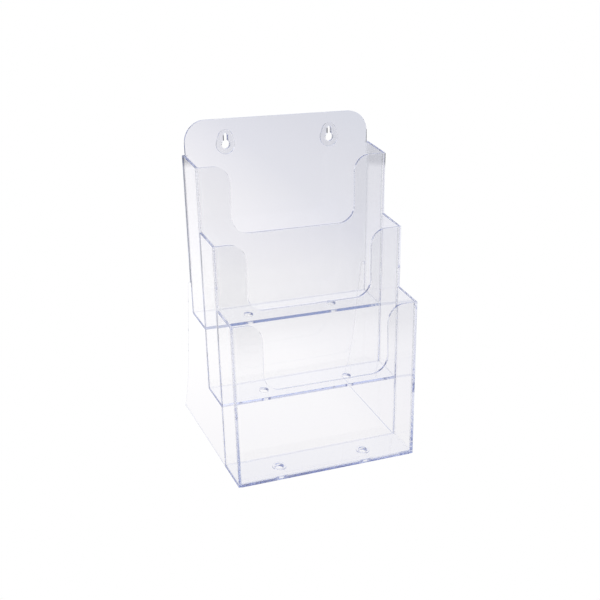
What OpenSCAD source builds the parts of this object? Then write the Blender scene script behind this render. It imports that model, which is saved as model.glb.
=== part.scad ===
// Three-tier brochure rack in clear plastic sheet, for folded A5 leaflets.
// Two stepped side plates stand on the table. Three scooped front panels, three floors
// and a tall back panel are bonded between them, and each panel is also the back wall of
// the pocket in front of it. Two keyholes near the top hang the rack on a wall.
// Frame: X across the rack, Y from front to back, Z up. Millimetres. The origin is on the
// table, below the middle of the rack.

/* [Side plates] */
// Outside width across the two side plates at the table
base_w = 169; // [165:1:190]
// Outward slope of each side plate, in degrees
draft = 1.3; // [0:0.1:2]
// Thickness of every sheet
wall = 2.5; // [2:0.1:3]
// Depth of the rear support, from the front foot to the rear edge
support_y = 134; // [132:1:145]
// Height at which the rear support runs into the back edge
support_h = 136; // [130:1:150]
// Rounding of the rear support's upper corner
support_r = 5.5; // [3:0.5:6]
// Height below which the rear edge flares out to the foot
flare_h = 70; // [50:1:90]
// Distance that the foot reaches behind the rear edge
flare_y = 8.5; // [4:0.5:12]

/* [Pockets] */
// Lean of the front panels and the back panel, in degrees
lean = 11; // [10:0.5:12]
// Step back from one pocket to the next
pitch = 33; // [30:0.5:34]
// Step up from one pocket to the next
rise = 54; // [48:1:60]
// Height of a pocket above the underside of its floor
pocket_h = 140; // [130:1:150]

/* [Thumb scoops] */
// Width of the scoop in each front panel
scoop_w = 118; // [100:1:124]
// Height of the scoop's lip above the underside of the floor
scoop_lip = 80; // [70:1:90]
// Radius of the scoop's four round corners
scoop_r = 15.5; // [8:0.5:17]

/* [Back panel] */
// Height of the back panel's top edge above the table
back_h = 277; // [272:1:290]
// Radius of its two upper corners
corner_r = 19; // [10:1:20]

/* [Keyholes] */
// Distance between the two keyholes
key_span = 100; // [80:1:110]
// Height of a keyhole's round entry above the table
key_h = 255; // [252:0.5:257]
// Diameter of the round entry
key_d = 8; // [7:0.1:9]
// Width of the slot above the entry
slot_w = 4; // [3.6:0.1:5]
// Distance from the entry's centre up to the centre of the slot's end
slot_rise = 8; // [6:0.5:9]
// Thickness of the pad behind each keyhole
pad_t = 1.5; // [1:0.1:2]
// Radius of a pad's lower, wider end
pad_low_r = 8.7; // [8:0.1:9]
// Radius of a pad's upper, narrower end
pad_top_r = 6.8; // [6:0.1:7.5]

/* [Floor holes] */
// Distance between the two holes in a floor
hole_span = 82; // [60:1:110]
// Diameter of a floor hole
hole_d = 8; // [6:0.1:9]
// Distance from a front panel's outer face back to the holes
hole_y = 16.5; // [13:0.5:20]
// Outside diameter of the collars round the lower floor's holes
collar_d = 12.5; // [11:0.1:15]
// Height of those collars above the floor
collar_h = 1; // [0.6:0.1:1.5]

/* [Hidden] */
$fn = 96;
slope = tan(lean);                      // run back for each millimetre up
wall_y = wall / cos(lean);              // depth of a leaning sheet, measured level
top_h = 2 * rise + pocket_h;            // top of the upper pocket
flare_r = flare_h * flare_h / (2 * flare_y) + flare_y / 2;
depth = 3 * pitch + back_h * slope + wall * cos(lean);
front_y = -depth / 2;                   // front foot of the lowest front panel
rear_edge_y = front_y + support_y;
spare = 12;                             // extra length on a shape that is trimmed
clear_sheet = [0.80, 0.84, 0.93, 0.45];
clear_edge = [0.62, 0.69, 0.90, 0.60];

// Half the rack's width at height z, outside and inside the side plates.
function half_out(z) = base_w / 2 + z * tan(draft);
function half_in(z) = half_out(z) - wall;
// Place of a leaning sheet's front face at height z; tier 0 is the lowest front panel.
function face_y(tier, z) = front_y + tier * pitch + slope * z;
// Length along a leaning sheet that climbs to height z.
function up(z) = z / cos(lean);

// A shape drawn in X and Z, carried through the whole depth of the rack.
module through_depth() {
    rotate([90, 0, 0])
        linear_extrude(height = 2 * depth, center = true)
            children();
}

// A shape drawn in Y and Z, carried through the whole width of the rack.
module through_width() {
    rotate([90, 0, 90])
        linear_extrude(height = 2 * base_w, center = true)
            children();
}

// The space between the side plates, from height z0 to height z1.
module between_plates(z0, z1) {
    through_depth()
        polygon([[-half_in(z0), z0], [half_in(z0), z0],
                 [half_in(z1), z1], [-half_in(z1), z1]]);
}

// A sheet drawn flat in X and its own length, stood up on a tier's leaning plane.
module leaning(tier) {
    translate([0, face_y(tier, 0), 0])
        rotate([-lean, 0, 0])
            translate([0, wall, 0])
                rotate([90, 0, 0])
                    linear_extrude(height = wall)
                        children();
}

// Stepped side outline: the ends of the three pockets, and behind them a support with a
// straight rear edge, a round shoulder and a flared foot.
module side_outline() {
    steps = [for (tier = [0:2]) let (top = tier * rise + pocket_h)
        each [[face_y(tier, top), top],
              [face_y(tier + 1, top) + (tier == 2 ? wall_y : 0), top]]];
    support = [[face_y(3, support_h) + wall_y, support_h], [rear_edge_y, support_h],
               [rear_edge_y, flare_h], [rear_edge_y + flare_y + 1, 0]];
    difference() {
        polygon(concat([[front_y, 0]], steps, support));
        translate([rear_edge_y + flare_r, flare_h])
            circle(r = flare_r, $fn = 360);
        difference() {
            translate([rear_edge_y - support_r, support_h - support_r])
                square([support_r + 1, support_r]);
            translate([rear_edge_y - support_r, support_h - support_r])
                circle(r = support_r);
        }
    }
}

module side_plate() {
    color(clear_sheet)
        intersection() {
            through_width() side_outline();
            through_depth()
                polygon([[half_in(0), 0], [half_out(0), 0],
                         [half_out(back_h), back_h], [half_in(back_h), back_h]]);
        }
}

module side_plate_left() {
    mirror([1, 0, 0]) side_plate();
}

module side_plate_right() {
    side_plate();
}

// Thumb scoop: straight sides, round bottom corners and ears that roll over at the top.
module scoop_outline(lip, top) {
    translate([-scoop_w / 2, lip + scoop_r])
        square([scoop_w, top + spare - lip - scoop_r]);
    translate([-scoop_w / 2 + scoop_r, lip])
        square([scoop_w - 2 * scoop_r, 2 * scoop_r]);
    for (side = [-1, 1])
        translate([side * (scoop_w / 2 - scoop_r), lip + scoop_r])
            circle(r = scoop_r);
    difference() {
        translate([-scoop_w / 2 - scoop_r, top - scoop_r])
            square([scoop_w + 2 * scoop_r, scoop_r + spare]);
        for (side = [-1, 1])
            translate([side * (scoop_w / 2 + scoop_r), top - scoop_r])
                circle(r = scoop_r);
    }
}

// Front panel of one tier. The upper two reach down past their own floor, where they
// close the back of the pocket in front.
module front_panel(tier) {
    foot = max(tier - 1, 0) * rise;
    top = tier * rise + pocket_h;
    color(clear_sheet)
        intersection() {
            between_plates(foot, top + spare);
            leaning(tier)
                difference() {
                    translate([-base_w, up(foot) - spare])
                        square([2 * base_w, up(top) - up(foot) + spare]);
                    scoop_outline(up(top) - (pocket_h - scoop_lip), up(top));
                }
        }
}

module front_panel_lower() {
    front_panel(0);
}

module front_panel_middle() {
    front_panel(1);
}

module front_panel_upper() {
    front_panel(2);
}

// Floor of one tier, between its front panel and the panel behind, with two holes.
module floor_plate(tier) {
    base = tier * rise;
    top = base + wall;
    color(clear_edge)
        difference() {
            intersection() {
                between_plates(base, top);
                through_width()
                    polygon([[face_y(tier, base) + wall_y, base],
                             [face_y(tier + 1, base), base],
                             [face_y(tier + 1, top), top],
                             [face_y(tier, top) + wall_y, top]]);
            }
            for (side = [-1, 1])
                translate([side * hole_span / 2, face_y(tier, base) + hole_y, base - 1])
                    cylinder(d = hole_d, h = wall + 2);
        }
}

module floor_lower() {
    floor_plate(0);
}

module floor_middle() {
    floor_plate(1);
}

module floor_upper() {
    floor_plate(2);
}

// Keyhole drawn with its round entry at the origin.
module keyhole_outline() {
    circle(d = key_d);
    translate([-slot_w / 2, 0])
        square([slot_w, slot_rise]);
    translate([0, slot_rise])
        circle(d = slot_w);
}

module back_panel() {
    foot = 2 * rise;
    corner_h = back_h - corner_r * cos(lean);
    half = half_in(corner_h);
    color(clear_sheet)
        intersection() {
            between_plates(foot, back_h + spare);
            leaning(3)
                difference() {
                    union() {
                        translate([-base_w, up(foot) - spare])
                            square([2 * base_w, up(corner_h) - up(foot) + spare]);
                        translate([-half + corner_r, up(corner_h)])
                            square([2 * (half - corner_r), corner_r]);
                        for (side = [-1, 1])
                            translate([side * (half - corner_r), up(corner_h)])
                                circle(r = corner_r);
                    }
                    for (side = [-1, 1])
                        translate([side * key_span / 2, up(key_h)])
                            keyhole_outline();
                }
        }
}

// Pear-shaped outline: two circles and the straight tangents between them.
module pear_outline() {
    pad_rise = slot_rise - (pad_low_r - pad_top_r);
    pinch = asin((pad_low_r - pad_top_r) / pad_rise);
    circle(r = pad_low_r);
    translate([0, pad_rise])
        circle(r = pad_top_r);
    polygon([[pad_low_r * cos(pinch), pad_low_r * sin(pinch)],
             [pad_top_r * cos(pinch), pad_rise + pad_top_r * sin(pinch)],
             [-pad_top_r * cos(pinch), pad_rise + pad_top_r * sin(pinch)],
             [-pad_low_r * cos(pinch), pad_low_r * sin(pinch)]]);
}

// Stiffening pad bonded behind a keyhole, with the same keyhole through it.
module keyhole_pad(side) {
    color(clear_edge)
        translate([0, face_y(3, 0), 0])
            rotate([-lean, 0, 0])
                translate([side * key_span / 2, wall + pad_t, up(key_h)])
                    rotate([90, 0, 0])
                        linear_extrude(height = pad_t)
                            difference() {
                                pear_outline();
                                keyhole_outline();
                            }
}

module keyhole_pad_left() {
    keyhole_pad(-1);
}

module keyhole_pad_right() {
    keyhole_pad(1);
}

// Collar that stiffens a screw hole in the lower floor.
module hole_collar(side) {
    color(clear_edge)
        translate([side * hole_span / 2, face_y(0, 0) + hole_y, wall])
            difference() {
                cylinder(d = collar_d, h = collar_h);
                translate([0, 0, -1])
                    cylinder(d = hole_d, h = collar_h + 2);
            }
}

module hole_collar_left() {
    hole_collar(-1);
}

module hole_collar_right() {
    hole_collar(1);
}

side_plate_left();
side_plate_right();
front_panel_lower();
front_panel_middle();
front_panel_upper();
floor_lower();
floor_middle();
floor_upper();
back_panel();
keyhole_pad_left();
keyhole_pad_right();
hole_collar_left();
hole_collar_right();
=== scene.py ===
"""Looks of the clear three-tier brochure rack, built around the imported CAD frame."""

import math

import bmesh
import bpy
from mathutils import Matrix, Vector
from mathutils.geometry import tessellate_polygon


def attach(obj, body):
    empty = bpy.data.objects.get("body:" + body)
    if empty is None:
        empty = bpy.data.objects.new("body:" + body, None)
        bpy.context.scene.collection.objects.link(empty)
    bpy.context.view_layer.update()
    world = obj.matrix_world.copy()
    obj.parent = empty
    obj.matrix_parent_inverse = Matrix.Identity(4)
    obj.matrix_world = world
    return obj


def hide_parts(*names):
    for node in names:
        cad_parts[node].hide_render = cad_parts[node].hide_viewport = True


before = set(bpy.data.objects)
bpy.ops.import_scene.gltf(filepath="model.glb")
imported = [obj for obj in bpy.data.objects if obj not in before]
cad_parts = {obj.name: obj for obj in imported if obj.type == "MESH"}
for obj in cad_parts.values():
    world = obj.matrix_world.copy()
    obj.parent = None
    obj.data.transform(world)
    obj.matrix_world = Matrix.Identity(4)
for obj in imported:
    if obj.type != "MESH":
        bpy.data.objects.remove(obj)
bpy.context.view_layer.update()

MM = 0.001
BODY = "root"

# ---------------------------------------------------------------- camera
CAMERA_AZIMUTH = -25.55    # degrees round the rack from straight in front
CAMERA_ELEVATION = 25.68   # degrees above the table
CAMERA_ROLL = 3.98         # degrees
CAMERA_DISTANCE = 0.984    # metres
CAMERA_LENS = 67.3         # millimetres on a 36 mm sensor
CAMERA_AIM = Vector((-0.0060, -0.0077, 0.1347))


def add_camera():
    a, e, r = (math.radians(v) for v in (CAMERA_AZIMUTH, CAMERA_ELEVATION, CAMERA_ROLL))
    back = Vector((math.sin(a) * math.cos(e), -math.cos(a) * math.cos(e), math.sin(e)))
    level = back.cross(Vector((0, 0, 1))).normalized() * -1
    upright = back.cross(level)
    right = level * math.cos(r) + upright * math.sin(r)
    up = upright * math.cos(r) - level * math.sin(r)
    data = bpy.data.cameras.new("camera")
    data.lens = CAMERA_LENS
    data.sensor_width = 36.0
    camera = bpy.data.objects.new("camera", data)
    turn = Matrix((right, up, back)).transposed().to_4x4()
    camera.matrix_world = Matrix.Translation(CAMERA_AIM + back * CAMERA_DISTANCE) @ turn
    bpy.context.scene.collection.objects.link(camera)
    bpy.context.scene.camera = camera


# ---------------------------------------------------------------- materials
IOR = 1.59                     # clear polystyrene
TINT = (0.30, 0.38, 0.70)      # what deep plastic lets through
# The middle floor absorbs more than the other floors as painted shade, which darkens its front
# band.
SIDE_DENSITY, PANEL_DENSITY, FLOOR_DENSITY, MIDDLE_FLOOR_SHADE_DENSITY = 2.2, 4.0, 8.0, 18.0
HAZE, HAZE_SCALE, HAZE_DETAIL = 0.003, 38.0, 6.0
HAZE_FROM, HAZE_TO = 0.45, 0.75    # between these values of the noise, the haze grows
HAZE_GROWTH = 4                    # to this many times as much
RIPPLE, RIPPLE_SCALE, RIPPLE_DETAIL = 0.004, 14.0, 1.0


def clear_plastic(name, density):
    """Clear moulded sheet: it bends light, takes a blue tint with depth, and has fine haze
    and ripple."""
    mat = bpy.data.materials.new(name)
    mat.use_nodes = True
    nodes, links = mat.node_tree.nodes, mat.node_tree.links
    shader = nodes["Principled BSDF"]
    shader.inputs["Transmission Weight"].default_value = 1.0
    shader.inputs["IOR"].default_value = IOR
    shader.inputs["Base Color"].default_value = (1.0, 1.0, 1.0, 1.0)

    place = nodes.new("ShaderNodeTexCoord")
    wear = nodes.new("ShaderNodeTexNoise")
    wear.inputs["Scale"].default_value = HAZE_SCALE
    wear.inputs["Detail"].default_value = HAZE_DETAIL
    rough = nodes.new("ShaderNodeMapRange")
    rough.inputs["From Min"].default_value = HAZE_FROM
    rough.inputs["From Max"].default_value = HAZE_TO
    rough.inputs["To Min"].default_value = HAZE
    rough.inputs["To Max"].default_value = HAZE * HAZE_GROWTH
    links.new(place.outputs["Object"], wear.inputs["Vector"])
    links.new(wear.outputs["Fac"], rough.inputs["Value"])
    links.new(rough.outputs["Result"], shader.inputs["Roughness"])

    wave = nodes.new("ShaderNodeTexNoise")
    wave.inputs["Scale"].default_value = RIPPLE_SCALE
    wave.inputs["Detail"].default_value = RIPPLE_DETAIL
    bump = nodes.new("ShaderNodeBump")
    bump.inputs["Strength"].default_value = RIPPLE
    bump.inputs["Distance"].default_value = 1 * MM
    links.new(place.outputs["Object"], wave.inputs["Vector"])
    links.new(wave.outputs["Fac"], bump.inputs["Height"])
    links.new(bump.outputs["Normal"], shader.inputs["Normal"])

    depth = nodes.new("ShaderNodeVolumeAbsorption")
    depth.inputs["Color"].default_value = (*TINT, 1.0)
    depth.inputs["Density"].default_value = density
    links.new(depth.outputs["Volume"], nodes["Material Output"].inputs["Volume"])
    return mat


# ---------------------------------------------------------------- sizes
# Millimetres. The first block has the CAD's own values, and the second is only in the looks.
BASE_W, DRAFT, WALL, LEAN = 169.0, math.radians(1.3), 2.5, math.radians(11)
PITCH, RISE, POCKET_H = 33.0, 54.0, 140.0
SUPPORT_Y, SUPPORT_H, SUPPORT_R, FLARE_H, FLARE_Y = 134.0, 136.0, 5.5, 70.0, 8.5
SCOOP_W, SCOOP_LIP, SCOOP_R = 118.0, 80.0, 15.5
BACK_H, CORNER_R = 277.0, 19.0
KEY_SPAN, KEY_H, KEY_R, SLOT_R, SLOT_RISE = 100.0, 255.0, 4.0, 2.0, 8.0
PAD_T, PAD_LOW_R, PAD_TOP_R = 1.5, 8.7, 6.8
HOLE_SPAN, HOLE_R, HOLE_Y, COLLAR_R, COLLAR_H = 82.0, 4.0, 16.5, 6.25, 1.0
SLOPE, COS, SIN = math.tan(LEAN), math.cos(LEAN), math.sin(LEAN)
DEPTH = 3 * PITCH + BACK_H * SLOPE + WALL * COS
PLATE_TOP = 2 * RISE + POCKET_H

EDGE_R = 0.18                  # eased edge of a sheet
CORNER_EASE = 0.3              # eased corner of an outline
LAP = 0.12                     # a bonded edge melts this far into its neighbour
LAP_R = 0.02                   # and stays sharp
FILLET = 0.8                   # fillet in the upright corners of a pocket
FILLET_RUN_OUT = 0.4           # length over which a fillet fades at a pocket's top
RIM_R, PAD_EASE = 0.1, 0.5     # edges of a keyhole and of the pad behind it
CLOSE = 0.1                    # points this near to a corner or an edge count as on it
SAME = 1e-4                    # points this near to each other are one
SHARP_TURN = math.radians(20)  # a corner that turns more is eased
LEAST_MITRE = 0.3              # keeps a tight corner from running far out


def half_out(z):
    return BASE_W / 2 + z * math.tan(DRAFT)


def half_in(z):
    return half_out(z) - WALL


def face_y(tier, z):
    return -DEPTH / 2 + tier * PITCH + SLOPE * z


def arc(x, y, radius, start, end, steps):
    """Points round a centre, angles in degrees."""
    turns = [math.radians(start + (end - start) * i / steps) for i in range(steps + 1)]
    return [(x + radius * math.cos(t), y + radius * math.sin(t)) for t in turns]


def clean(loop):
    """The loop without points that repeat the one before."""
    return [p for i, p in enumerate(loop) if math.dist(p, loop[i - 1]) > SAME]


def soften(loop, radius=CORNER_EASE, steps=3):
    """Rounds every sharp corner of an outline."""
    done = []
    for i, here in enumerate(loop):
        before, after = Vector(loop[i - 1]), Vector(loop[(i + 1) % len(loop)])
        here = Vector(here)
        a, b = (here - before).normalized(), (after - here).normalized()
        turn = a.angle_signed(b)
        if abs(turn) < SHARP_TURN:
            done.append(tuple(here))
            continue
        reach = radius * math.tan(abs(turn) / 2)
        for k in range(steps + 1):
            t = k / steps
            p0, p2 = here - a * reach, here + b * reach
            done.append(tuple(p0.lerp(here, t).lerp(here.lerp(p2, t), t)))
    return done


def offset(loop, distances):
    """The loop moved to the left of its own direction, which is into the sheet."""
    done = []
    for i, distance in enumerate(distances):
        before, here, after = (Vector(loop[(i + k) % len(loop)]) for k in (-1, 0, 1))
        a, b = (here - before).normalized(), (after - here).normalized()
        na, nb = Vector((-a.y, a.x)), Vector((-b.y, b.x))
        middle = (na + nb).normalized()
        done.append(here + middle * distance / max(LEAST_MITRE, middle.dot(na)))
    return done


def eased(x, y):
    return EDGE_R, EDGE_R


def slab(name, loops_at, thickness, place, edge=eased, steps=4):
    """A sheet with eased edges. loops_at gives the outline and the holes at a depth below the
    first face, place turns a point and its depth into a point in millimetres, and edge gives
    the radius at a point of the outline, on the first face and on the last. A radius below
    zero makes a fillet that climbs the neighbour instead."""
    radii = [[edge(*p) for p in loop] for loop in loops_at(0)]
    turns = [math.radians(90 * k / steps) for k in range(steps + 1)]
    levels = [(1 - math.sin(t), 1 - math.cos(t), False) for t in turns]
    levels += [(inset, drop, True) for inset, drop, far in reversed(levels)]
    work = bmesh.new()
    rings = []
    for inset, drop, far in levels:
        ring = []
        for loop, both in zip(loops_at(thickness if far else 0), radii):
            radius = [pair[far] for pair in both]
            points = offset(loop, [inset * abs(r) for r in radius])
            depths = [thickness - drop * r if far else drop * r for r in radius]
            ring.append([(p, work.verts.new(Vector(place(p.x, p.y, d)) * MM))
                         for p, d in zip(points, depths)])
        rings.append(ring)
    for upper, lower in zip(rings, rings[1:]):
        for one, two in zip(upper, lower):
            for i in range(len(one)):
                work.faces.new((one[i - 1][1], one[i][1], two[i][1], two[i - 1][1]))
    for ring in (rings[0], rings[-1]):
        corners = [v for loop in ring for p, v in loop]
        for tri in tessellate_polygon([[p.to_3d() for p, v in loop] for loop in ring]):
            work.faces.new([corners[i] for i in tri])
    bmesh.ops.recalc_face_normals(work, faces=work.faces)
    for face in work.faces:
        face.smooth = True
    mesh = bpy.data.meshes.new(name)
    work.to_mesh(mesh)
    work.free()
    normals = [Vector() for v in mesh.vertices]
    for face in mesh.polygons:
        for v in face.vertices:
            normals[v] += face.normal * (face.area / MM ** 2) ** 2
    mesh.normals_split_custom_set_from_vertices([n.normalized() for n in normals])
    piece = bpy.data.objects.new(name, mesh)
    bpy.context.scene.collection.objects.link(piece)
    return piece


def on_lean(tier):
    """Places a point of a leaning sheet: across, along the sheet, and back from its front face."""
    def place(x, along, depth):
        return (x, face_y(tier, 0) + along * SIN + depth * COS, along * COS - depth * SIN)
    return place


def circle(x, y, radius, steps=64):
    return arc(x, y, radius, 0, 360, steps)[:-1]


def side_plate(name, side):
    rear = -DEPTH / 2 + SUPPORT_Y
    flare_r = FLARE_H ** 2 / (2 * FLARE_Y) + FLARE_Y / 2
    sweep = math.degrees(math.asin(FLARE_H / flare_r))
    loop = [(face_y(0, 0), 0)]
    loop += arc(rear + flare_r, FLARE_H, flare_r, 180 + sweep, 180, 16)
    loop += arc(rear - SUPPORT_R, SUPPORT_H - SUPPORT_R, SUPPORT_R, 0, 90, 10)
    loop += [(face_y(3, z) + WALL / COS, z) for z in (SUPPORT_H, PLATE_TOP)]
    for tier in (2, 1, 0):
        z = tier * RISE + POCKET_H
        if tier < 2:
            loop.append((face_y(tier + 1, z), z))
        loop.append((face_y(tier, z), z))
    loop = soften(clean(loop))
    return slab(name, lambda d: [loop], WALL,
                lambda y, z, d: (side * (half_out(z) - d), y, z))


def panel_foot(foot, depth):
    """Bottom corners of a leaning sheet that stands on a level plane."""
    along = (foot + depth * SIN) / COS
    half = half_in(foot) + LAP
    return [(-half, along), (half, along)]


def panel_edge(tier, foot):
    """Edges of a leaning sheet: sharp at its foot, filleted where a pocket's corner is."""
    pocket = (tier - 1) * RISE + POCKET_H if tier else 0

    def edge(x, along):
        z = along * COS
        if z < foot + CLOSE:
            return LAP_R, LAP_R
        if z < PLATE_TOP + CLOSE and abs(x) > half_in(z) - CLOSE:
            return (-FILLET if z < pocket else LAP_R), (-FILLET if tier < 3 else LAP_R)
        if math.dist((abs(x), z), (KEY_SPAN / 2, KEY_H)) < 2 * SLOT_RISE:
            return RIM_R, LAP_R
        return EDGE_R, EDGE_R
    return edge


def front_panel(name, tier):
    foot = max(tier - 1, 0) * RISE
    top = (tier * RISE + POCKET_H) / COS
    pocket = (tier - 1) * RISE + POCKET_H
    lip = top - (POCKET_H - SCOOP_LIP)
    ear = SCOOP_W / 2

    def loops(depth):
        half = half_in(top * COS - depth * SIN) + LAP
        ends = (pocket - FILLET_RUN_OUT / 2, pocket + FILLET_RUN_OUT / 2)
        right = [(half_in(z) + LAP, z / COS) for z in ends if tier]
        right.append((half, top))
        right += arc(ear + SCOOP_R, top - SCOOP_R, SCOOP_R, 90, 180, 16)
        right += arc(ear - SCOOP_R, lip + SCOOP_R, SCOOP_R, 0, -90, 16)
        left = [(-x, y) for x, y in reversed(right)]
        return [soften(clean(panel_foot(foot, depth) + right + left))]
    return slab(name, loops, WALL, on_lean(tier), panel_edge(tier, foot))


def keyhole():
    """Round entry with a slot above it, entry centre at the origin."""
    cut = math.degrees(math.acos(SLOT_R / KEY_R))
    return clean(arc(0, SLOT_RISE, SLOT_R, 0, 180, 24)
                 + arc(0, 0, KEY_R, 180 - cut, 360 + cut, 60))


def moved(loop, x, y):
    return [(px + x, py + y) for px, py in loop]


def back_panel(name):
    corner_h = BACK_H - CORNER_R * COS
    keys = [moved(keyhole(), side * KEY_SPAN / 2, KEY_H / COS)[::-1] for side in (-1, 1)]

    def loops(depth):
        half = half_in(corner_h - depth * SIN)
        right = [(half_in(PLATE_TOP) + LAP, (PLATE_TOP - LAP) / COS),
                 (half_in(PLATE_TOP), (PLATE_TOP - LAP) / COS)]
        right += arc(half - CORNER_R, corner_h / COS, CORNER_R, 0, 90, 20)
        left = [(-x, y) for x, y in reversed(right)]
        return [soften(clean(panel_foot(2 * RISE, depth) + right + left))] + keys
    return slab(name, loops, WALL, on_lean(3), panel_edge(3, 2 * RISE))


def keyhole_pad(name, side):
    rise = SLOT_RISE - (PAD_LOW_R - PAD_TOP_R)
    pinch = math.degrees(math.asin((PAD_LOW_R - PAD_TOP_R) / rise))
    pear = arc(0, rise, PAD_TOP_R, pinch, 180 - pinch, 32)
    pear += arc(0, 0, PAD_LOW_R, 180 - pinch, 360 + pinch, 48)
    loops = [moved(loop, side * KEY_SPAN / 2, KEY_H / COS) for loop in (pear, keyhole()[::-1])]
    lean = on_lean(3)

    def edge(x, y):
        across, up = abs(abs(x) - KEY_SPAN / 2), y - KEY_H / COS
        at_keyhole = across < KEY_R + CLOSE and -KEY_R - CLOSE < up < SLOT_RISE + SLOT_R + CLOSE
        return LAP_R, LAP_R if at_keyhole else PAD_EASE
    return slab(name, lambda d: loops, PAD_T + LAP,
                lambda x, y, d: lean(x, y, WALL - LAP + d), edge)


def floor_plate(name, tier):
    base = tier * RISE
    hole_y = face_y(tier, base) + HOLE_Y
    holes = [circle(side * HOLE_SPAN / 2, hole_y, HOLE_R)[::-1] for side in (-1, 1)]

    def loops(depth):
        z = base + depth
        half = half_in(z) + LAP
        front, rear = face_y(tier, z) + WALL / COS - LAP, face_y(tier + 1, z) + LAP
        return [soften([(-half, front), (half, front), (half, rear), (-half, rear)])] + holes

    def edge(x, y):
        hole = math.dist((abs(x), y), (HOLE_SPAN / 2, hole_y)) < HOLE_R + CLOSE
        return (EDGE_R, EDGE_R) if hole else (LAP_R, LAP_R)
    return slab(name, loops, WALL, lambda x, y, d: (x, y, base + d), edge)


def hole_collar(name, side):
    x, y = side * HOLE_SPAN / 2, face_y(0, 0) + HOLE_Y
    loops = [circle(x, y, COLLAR_R), circle(x, y, HOLE_R)[::-1]]
    return slab(name, lambda d: loops, COLLAR_H + LAP,
                lambda px, py, d: (px, py, WALL - LAP + d), lambda x, y: (LAP_R, EDGE_R))


# ---------------------------------------------------------------- stage
def node_chain(tree):
    """A small helper that adds a node, sets its inputs and links what is linkable."""
    def add(kind, values=(), **settings):
        node = tree.nodes.new("ShaderNode" + kind)
        for key, value in settings.items():
            setattr(node, key, value)
        for key, value in dict(values).items():
            if isinstance(value, bpy.types.NodeSocket):
                tree.links.new(value, node.inputs[key])
            else:
                node.inputs[key].default_value = value
        return node
    return add


def tone(add, value, stops):
    """A colour ramp whose stops are given in the value's own unit."""
    low, high = stops[0][0], stops[-1][0]
    share = add("MapRange", {"Value": value, "From Min": low, "From Max": high})
    ramp = add("ValToRGB", {"Fac": share.outputs["Result"]})
    elements = ramp.color_ramp.elements
    while len(elements) < len(stops):
        elements.new(1.0)
    for element, (place, colour) in zip(elements, stops):
        element.position = (place - low) / (high - low)
        element.color = (*colour, 1.0)
    return ramp.outputs["Color"]


def mixed(add, factor, first, second, blend="MIX"):
    """Mixes two colours, each of which is a node's output or a plain colour."""
    mix = add("Mix", {"Factor": factor, "A": first, "B": second}, data_type="RGBA",
              blend_type=blend)
    return mix.outputs["Result"]


def along(add, vector, axis):
    return add("VectorMath", {0: vector, 1: axis}, operation="DOT_PRODUCT").outputs["Value"]


def bands(add, vector, tones):
    """The tones along each axis, multiplied together."""
    colours = [tone(add, along(add, vector, axis), stops) for axis, stops in tones]
    product = colours[0]
    for colour in colours[1:]:
        product = mixed(add, 1.0, product, colour, "MULTIPLY")
    return product


def shown_white(add, colour):
    """The camera itself sees clean white, and only the rack sees the sky's tones and the floor's
    painted shade, light and dark reflections.
    """
    return mixed(add, add("LightPath").outputs["Is Camera Ray"], colour, (*WHITE, 1.0))


def with_mirrored(add, colour, dim):
    """The colour, darkened by a tone that shows only in reflections. What is seen straight
    through the rack isn't darkened."""
    reflections = add("LightPath").outputs["Glossy Depth"]
    return mixed(add, 1.0, colour, mixed(add, reflections, (*WHITE, 1.0), dim), "MULTIPLY")


# The studio's tones, which the rack bends and mirrors: a white sweep on a table with painted shade
# and light on it, and a sky that is white to half way up and a dim blue above. A dim room in front
# of the table, in the sky and painted on the floor as a dark reflection, a dim stretch of sky low
# at the left rear, and a painted black spot on the floor that darkens the walls of the keyholes
# show only in reflections. Each stop is a place along its axis and a colour. On the floor the
# place is in metres, and in the sky it is a part of the view direction.
WHITE, DIM, BLACK = (1.0, 1.0, 1.0), (0.16, 0.19, 0.28), (0.01, 0.015, 0.03)
RIGHTWARD, BACKWARD, UPWARD = (1, 0, 0), (0, 1, 0), (0, 0, 1)
FROM_LEFT_REAR, FROM_FRONT = (1, -1, 2), (0, 1, 2)
# Painted dark reflection: the front of the floor turns dark, only in reflections.
FLOOR_FRONT_PAINTED_REFLECTION = ((-0.95, (0.32, 0.33, 0.36)), (-0.65, WHITE))
# Painted shade and light on the floor: darker close under and behind the rack, brighter further
# back, and darker again far away.
FLOOR_BACK_PAINTED_SHADE_AND_LIGHT = ((-0.06, (0.94, 0.93, 0.94)), (0.00, (0.96, 0.95, 0.97)), (0.10, (1.00, 0.99, 1.00)),
              (0.32, (1.06, 1.05, 1.06)), (0.42, (1.03, 1.02, 1.05)), (0.58, (1.01, 1.00, 1.02)),
              (0.85, (1.00, 0.99, 1.02)), (2.00, (0.89, 0.90, 0.95)))
# Painted shade on the floor, darker towards the right.
FLOOR_RIGHT_PAINTED_SHADE = ((0.05, WHITE), (0.16, (0.92, 0.92, 0.94)), (0.27, (0.81, 0.82, 0.86)),
               (0.40, (0.77, 0.78, 0.82)), (0.60, (0.73, 0.76, 0.81)))
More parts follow.
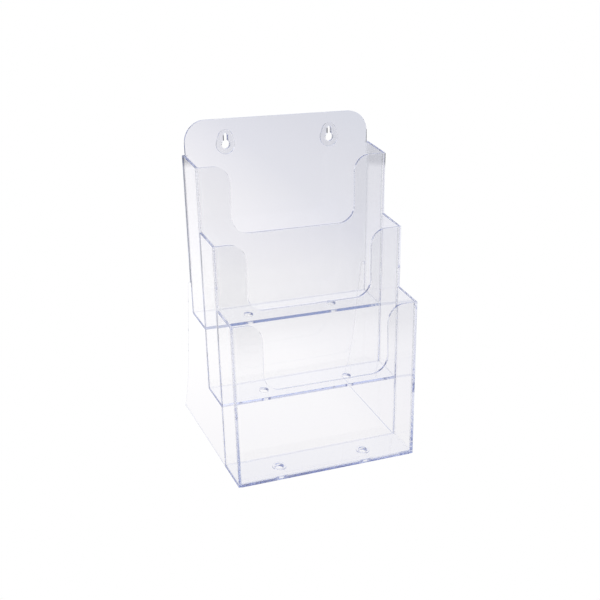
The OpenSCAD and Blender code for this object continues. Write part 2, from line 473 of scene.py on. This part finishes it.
# Painted dark reflection: a black spot on the floor, seen only in reflections, darkens the walls
# of the keyholes.
PAINTED_DARK_SPOT_AT, PAINTED_DARK_SPOT = (-0.33, 0.83, 0.0), ((0.00, BLACK), (0.12, BLACK), (0.15, WHITE))
SKY_UP = ((0.00, (0.90, 0.91, 0.95)), (0.50, (0.97, 0.97, 1.00)), (0.62, (0.30, 0.37, 0.66)),
          (1.00, (0.50, 0.56, 0.78)))
SKY_LEFT = ((-1.16, DIM), (-1.05, WHITE))
SKY_FRONT = ((-0.5, (0.30, 0.31, 0.34)), (0.1, WHITE))
FLOOR = ((BACKWARD, FLOOR_BACK_PAINTED_SHADE_AND_LIGHT), (RIGHTWARD, FLOOR_RIGHT_PAINTED_SHADE))
FLOOR_PAINTED_REFLECTIONS = ((BACKWARD, FLOOR_FRONT_PAINTED_REFLECTION),)
SKY = ((UPWARD, SKY_UP),)
SKY_MIRRORED = ((FROM_LEFT_REAR, SKY_LEFT), (FROM_FRONT, SKY_FRONT))
FLOOR_SIZE = 30.0              # metres
FLOOR_DROP = 0.1 * MM          # keeps the floor clear of the rack's underside
BOUNCES = 400                  # light runs far inside a clear sheet before it leaves by an edge
LIGHT_AIM = (0, 0, 0.12)
# name, place in metres, width in metres, watts
LIGHTS = (("softbox_left", (-1.6, -0.4, 1.5), 1.2, 4),
          ("softbox_top", (0.3, 0.5, 2.0), 1.4, 5))


def add_floor():
    mat = bpy.data.materials.new("floor")
    mat.use_nodes = True
    mat.node_tree.nodes.clear()
    add = node_chain(mat.node_tree)
    place = add("TexCoord").outputs["Object"]
    # The floor's painted dark reflections: the black spot and the dark front, shown only in
    # reflections.
    away = add("VectorMath", {0: place, 1: PAINTED_DARK_SPOT_AT}, operation="DISTANCE").outputs["Value"]
    dim = mixed(add, 1.0, tone(add, away, PAINTED_DARK_SPOT), bands(add, place, FLOOR_PAINTED_REFLECTIONS), "MULTIPLY")
    # The floor's painted shade and light, which the rack bends and mirrors.
    seen = with_mirrored(add, bands(add, place, FLOOR), dim)
    glow = add("Emission", {"Color": shown_white(add, seen)})
    add("OutputMaterial", {"Surface": glow.outputs["Emission"]})
    bpy.ops.mesh.primitive_plane_add(size=FLOOR_SIZE, location=(0, 0, -FLOOR_DROP))
    floor = bpy.context.object
    floor.name = "floor"
    floor.data.materials.append(mat)


def add_world():
    world = bpy.data.worlds.new("studio")
    bpy.context.scene.world = world
    world.use_nodes = True
    add = node_chain(world.node_tree)
    way = add("TexCoord").outputs["Generated"]
    seen = with_mirrored(add, bands(add, way, SKY), bands(add, way, SKY_MIRRORED))
    world.node_tree.links.new(shown_white(add, seen),
                              world.node_tree.nodes["Background"].inputs["Color"])


def add_light(name, place, width, watts):
    data = bpy.data.lights.new(name, "AREA")
    data.size = width
    data.energy = watts
    light = bpy.data.objects.new(name, data)
    light.location = place
    light.rotation_mode = "QUATERNION"
    light.rotation_quaternion = (Vector(LIGHT_AIM) - Vector(place)).to_track_quat("-Z", "Y")
    bpy.context.scene.collection.objects.link(light)


def add_studio():
    add_floor()
    add_world()
    for light in LIGHTS:
        add_light(*light)
    scene = bpy.context.scene
    scene.view_settings.view_transform = "Standard"
    scene.cycles.max_bounces = BOUNCES
    scene.cycles.transmission_bounces = BOUNCES
    scene.cycles.glossy_bounces = BOUNCES


# ---------------------------------------------------------------- the rack
add_camera()
side_sheet = clear_plastic("clear_side_sheet", SIDE_DENSITY)
sheet = clear_plastic("clear_sheet", PANEL_DENSITY)
floor_sheet = clear_plastic("clear_floor_sheet", FLOOR_DENSITY)
# A darker copy of the floors' sheet: painted shade on the middle floor's front band.
middle_floor_shaded_sheet = clear_plastic("clear_middle_sheet", MIDDLE_FLOOR_SHADE_DENSITY)
PIECES = [
    ("side_plate_left", side_plate, -1, side_sheet, "side_sheet"),
    ("side_plate_right", side_plate, 1, side_sheet, "side_sheet"),
    ("front_panel_lower", front_panel, 0, sheet, "front_sheet"),
    ("front_panel_middle", front_panel, 1, sheet, "front_sheet"),
    ("front_panel_upper", front_panel, 2, sheet, "front_sheet"),
    ("floor_lower", floor_plate, 0, floor_sheet, "floor_sheet"),
    ("floor_middle", floor_plate, 1, middle_floor_shaded_sheet, "floor_sheet"),
    ("floor_upper", floor_plate, 2, floor_sheet, "floor_sheet"),
    ("back_panel", back_panel, None, sheet, "back_sheet"),
    ("keyhole_pad_left", keyhole_pad, -1, sheet, "pad"),
    ("keyhole_pad_right", keyhole_pad, 1, sheet, "pad"),
    ("hole_collar_left", hole_collar, -1, floor_sheet, "collar"),
    ("hole_collar_right", hole_collar, 1, floor_sheet, "collar"),
]
for node, build, which, material, slot in PIECES:
    name = node + "_clear"
    piece = build(name) if which is None else build(name, which)
    piece.data.materials.append(material)
    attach(piece, BODY)
    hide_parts(node)

add_studio()
